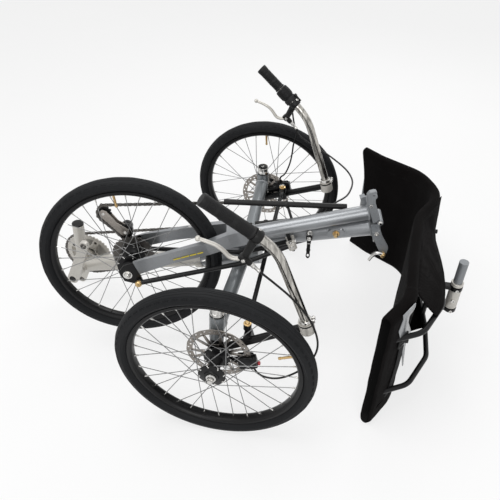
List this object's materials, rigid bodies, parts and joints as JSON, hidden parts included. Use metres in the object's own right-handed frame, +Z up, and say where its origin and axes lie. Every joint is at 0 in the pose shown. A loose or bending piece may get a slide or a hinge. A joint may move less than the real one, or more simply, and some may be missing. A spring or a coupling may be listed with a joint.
{
  "type": "folding recumbent trike",
  "caption": "Folding recumbent trike with wheels in front and behind, stored folded with its mesh seat taken off beside it.",
  "frame": {"origin": "on the floor under the middle of the whole", "axes": "+X towards the rear, where the hinge and the seat are; +Y towards the rider's right, the chain side; +Z up"},
  "size_m": [1.2246, 0.908, 0.69],
  "materials": {
    "frame_paint": "satin silver-blue paint",
    "warm_silver": "satin warm silver",
    "polished_silver": "polished",
    "hinge_grey": "machined",
    "black_metal": "satin black",
    "steel": "plain",
    "tyre_rubber": "matt",
    "grip_rubber": "matt",
    "black_plastic": "satin",
    "brass_bolt": "turned",
    "seat_mesh": "woven mesh"
  },
  "bodies": {
    "front_frame": {"main_tube": "frame_paint", "boom_socket": "frame_paint", "boom": "warm_silver", "cross_member": "frame_paint", "hinge_front": "hinge_grey", "hinge_latch": "hinge_grey", "chain_front": "steel", "chain_tubes_front": "black_plastic", "gear_cable_frame": "black_plastic", "strap": "grip_rubber", "seat_stud": "brass_bolt", "seat_frame": "frame_paint", "seat_sling": "seat_mesh", "seat_brace": "black_metal", "seat_post": "polished_silver"},
    "crankset": {"crank_left": "warm_silver", "crank_right": "warm_silver", "chainring": "warm_silver"},
    "tie_rod": {"tie_rod": "black_metal"},
    "rear_frame": {"hinge_rear": "hinge_grey", "rear_tube": "frame_paint", "chainstays": "frame_paint", "dropouts": "black_metal", "seat_stays": "black_metal", "derailleur": "black_metal", "chain_rear": "steel", "chain_tubes_rear": "black_plastic"},
    "wheel_rear": {"tyre_rear": "tyre_rubber", "rim_rear": "black_metal", "spokes_rear": "steel", "hub_rear": "black_metal", "cassette": "black_metal"},
    "knuckle_left": {"knuckle_left": "black_metal", "kingpin_collar_left": "polished_silver", "steering_arm_left": "black_metal", "handlebar_left": "polished_silver", "grip_left": "grip_rubber", "brake_lever_left": "polished_silver", "caliper_left": "black_metal", "brake_cable_left": "black_plastic"},
    "wheel_front_left": {"tyre_front_left": "tyre_rubber", "rim_front_left": "black_metal", "spokes_front_left": "steel", "hub_front_left": "black_metal", "brake_disc_left": "steel"},
    "knuckle_right": {"knuckle_right": "black_metal", "kingpin_collar_right": "polished_silver", "steering_arm_right": "black_metal", "handlebar_right": "polished_silver", "grip_right": "grip_rubber", "brake_lever_right": "polished_silver", "caliper_right": "black_metal", "brake_cable_right": "black_plastic", "shifter": "black_plastic", "gear_cable_bar": "black_plastic"},
    "wheel_front_right": {"tyre_front_right": "tyre_rubber", "rim_front_right": "black_metal", "spokes_front_right": "steel", "hub_front_right": "black_metal", "brake_disc_right": "steel"}
  },
  "joints": [
    {"name": "steer_left", "type": "hinge", "parent": "front_frame", "child": "knuckle_left", "pos_m": [-0.01282, -0.34904, 0.26264], "axis": [0.0263, 0.1183, 0.9926], "range_deg": [-25, 25]},
    {"name": "steer_right", "type": "hinge", "parent": "front_frame", "child": "knuckle_right", "pos_m": [-0.01282, 0.32096, 0.26264], "axis": [0.0263, -0.1183, 0.9926], "range_deg": [-25, 25]},
    {"name": "tie_rod_turn", "type": "hinge", "parent": "knuckle_left", "child": "tie_rod", "pos_m": [0.05771, -0.32004, 0.29567], "axis": [0.0013, 0.1176, 0.9931], "range_deg": [-28, 28]},
    {"name": "wheel_front_left_spin", "type": "hinge", "parent": "knuckle_left", "child": "wheel_front_left", "pos_m": [-0.00437, -0.41204, 0.243], "axis": [0, 1, 0], "continuous": true},
    {"name": "wheel_front_right_spin", "type": "hinge", "parent": "knuckle_right", "child": "wheel_front_right", "pos_m": [-0.00437, 0.38396, 0.243], "axis": [0, 1, 0], "continuous": true},
    {"name": "crank_spin", "type": "hinge", "parent": "front_frame", "child": "crankset", "pos_m": [-0.52953, -0.01404, 0.14926], "axis": [0, 1, 0], "continuous": true},
    {"name": "main_fold", "type": "hinge", "parent": "front_frame", "child": "rear_frame", "pos_m": [0.34742, -0.01404, 0.4397], "axis": [-0.1058, 0.9937, -0.0377], "range_deg": [0, 188.6]},
    {"name": "wheel_rear_spin", "type": "hinge", "parent": "rear_frame", "child": "wheel_rear", "pos_m": [-0.29046, -0.15841, 0.31829], "axis": [-0.2034, 0.9749, -0.0904], "continuous": true}
  ],
  "couplings": [
    {"joint": "steer_right", "follows": "steer_left", "ratio": 1},
    {"joint": "tie_rod_turn", "follows": "steer_left", "ratio": -1.0793}
  ]
}
